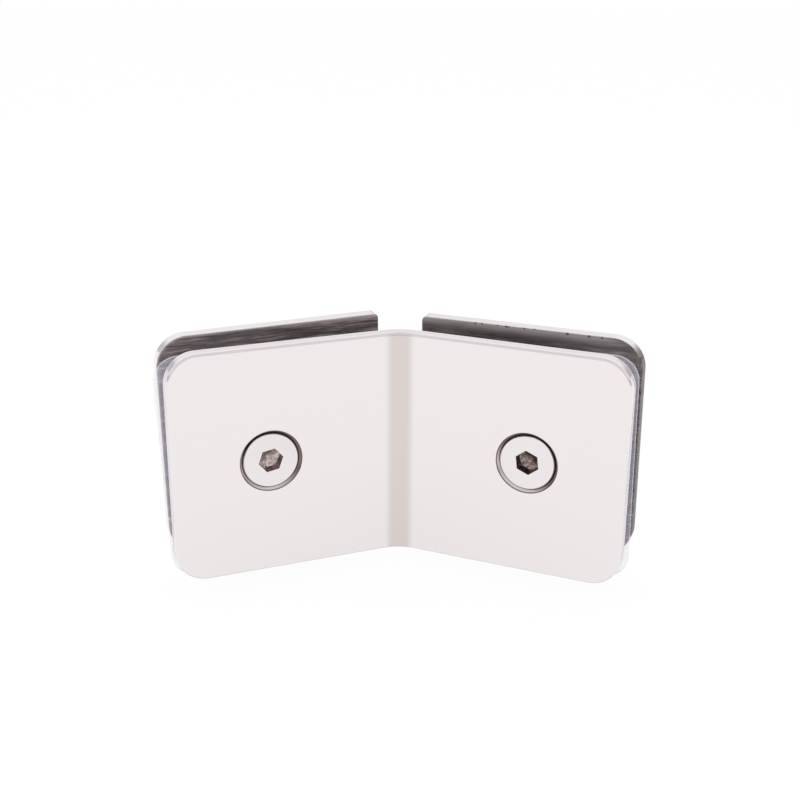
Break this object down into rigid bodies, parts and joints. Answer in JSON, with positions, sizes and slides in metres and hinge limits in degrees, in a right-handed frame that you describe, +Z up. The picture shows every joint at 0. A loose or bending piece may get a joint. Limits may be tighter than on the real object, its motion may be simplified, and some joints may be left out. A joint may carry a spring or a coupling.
{
  "type": "corner glass clamp",
  "caption": "Corner clamp that joins glass panels at an obtuse angle: bent front plate, back plates, clear gaskets, sleeves and countersunk screws.",
  "frame": {"origin": "where the two front faces would meet, at the bottom edge, on the surface that the clamp stands on", "axes": "+Z up along the bend, +X to the right when looking into the bend, +Y away from the hollow side"},
  "size_m": [0.0935, 0.0321, 0.0453],
  "materials": {
    "polished_steel": "mirror polished stainless steel",
    "back_steel": "stainless steel, polished outside, brushed on the glass side",
    "screw_steel": "polished stainless steel",
    "boss_steel": "turned stainless steel",
    "clear_gasket": "soft clear plastic",
    "clear_sleeve": "soft clear plastic"
  },
  "bodies": {
    "front": {"front_plate": "polished_steel", "left_front_gasket": "clear_gasket", "right_front_gasket": "clear_gasket"},
    "left_screw": {"left_screw": "screw_steel"},
    "left_carriage": {"left_rear_gasket": "clear_gasket", "left_sleeve": "clear_sleeve"},
    "left_back": {"left_back_plate": "back_steel", "left_boss": "boss_steel"},
    "right_screw": {"right_screw": "screw_steel"},
    "right_carriage": {"right_rear_gasket": "clear_gasket", "right_sleeve": "clear_sleeve"},
    "right_back": {"right_back_plate": "back_steel", "right_boss": "boss_steel"}
  },
  "joints": [
    {"name": "left_screw_turn", "type": "hinge", "parent": "front", "child": "left_screw", "pos_m": [-0.02402, -0.00995, 0.0225], "axis": [0.3827, -0.9239, 0], "range_deg": [-360, 720]},
    {"name": "left_gap_slide", "type": "slide", "parent": "front", "child": "left_carriage", "axis": [-0.3827, 0.9239, 0], "range_m": [-0.001, 0.002]},
    {"name": "left_plate_swivel", "type": "hinge", "parent": "left_carriage", "child": "left_back", "pos_m": [-0.02402, -0.00995, 0.0225], "axis": [0.3827, -0.9239, 0], "range_deg": [-12, 12]},
    {"name": "right_screw_turn", "type": "hinge", "parent": "front", "child": "right_screw", "pos_m": [0.02402, -0.00995, 0.0225], "axis": [-0.3827, -0.9239, 0], "range_deg": [-360, 720]},
    {"name": "right_gap_slide", "type": "slide", "parent": "front", "child": "right_carriage", "axis": [0.3827, 0.9239, 0], "range_m": [-0.001, 0.002]},
    {"name": "right_plate_swivel", "type": "hinge", "parent": "right_carriage", "child": "right_back", "pos_m": [0.02402, -0.00995, 0.0225], "axis": [-0.3827, -0.9239, 0], "range_deg": [-12, 12]}
  ],
  "couplings": [
    {"joint": "left_screw_turn", "follows": "left_gap_slide", "rad_per_m": 6283.2},
    {"joint": "right_screw_turn", "follows": "right_gap_slide", "rad_per_m": 6283.2}
  ]
}
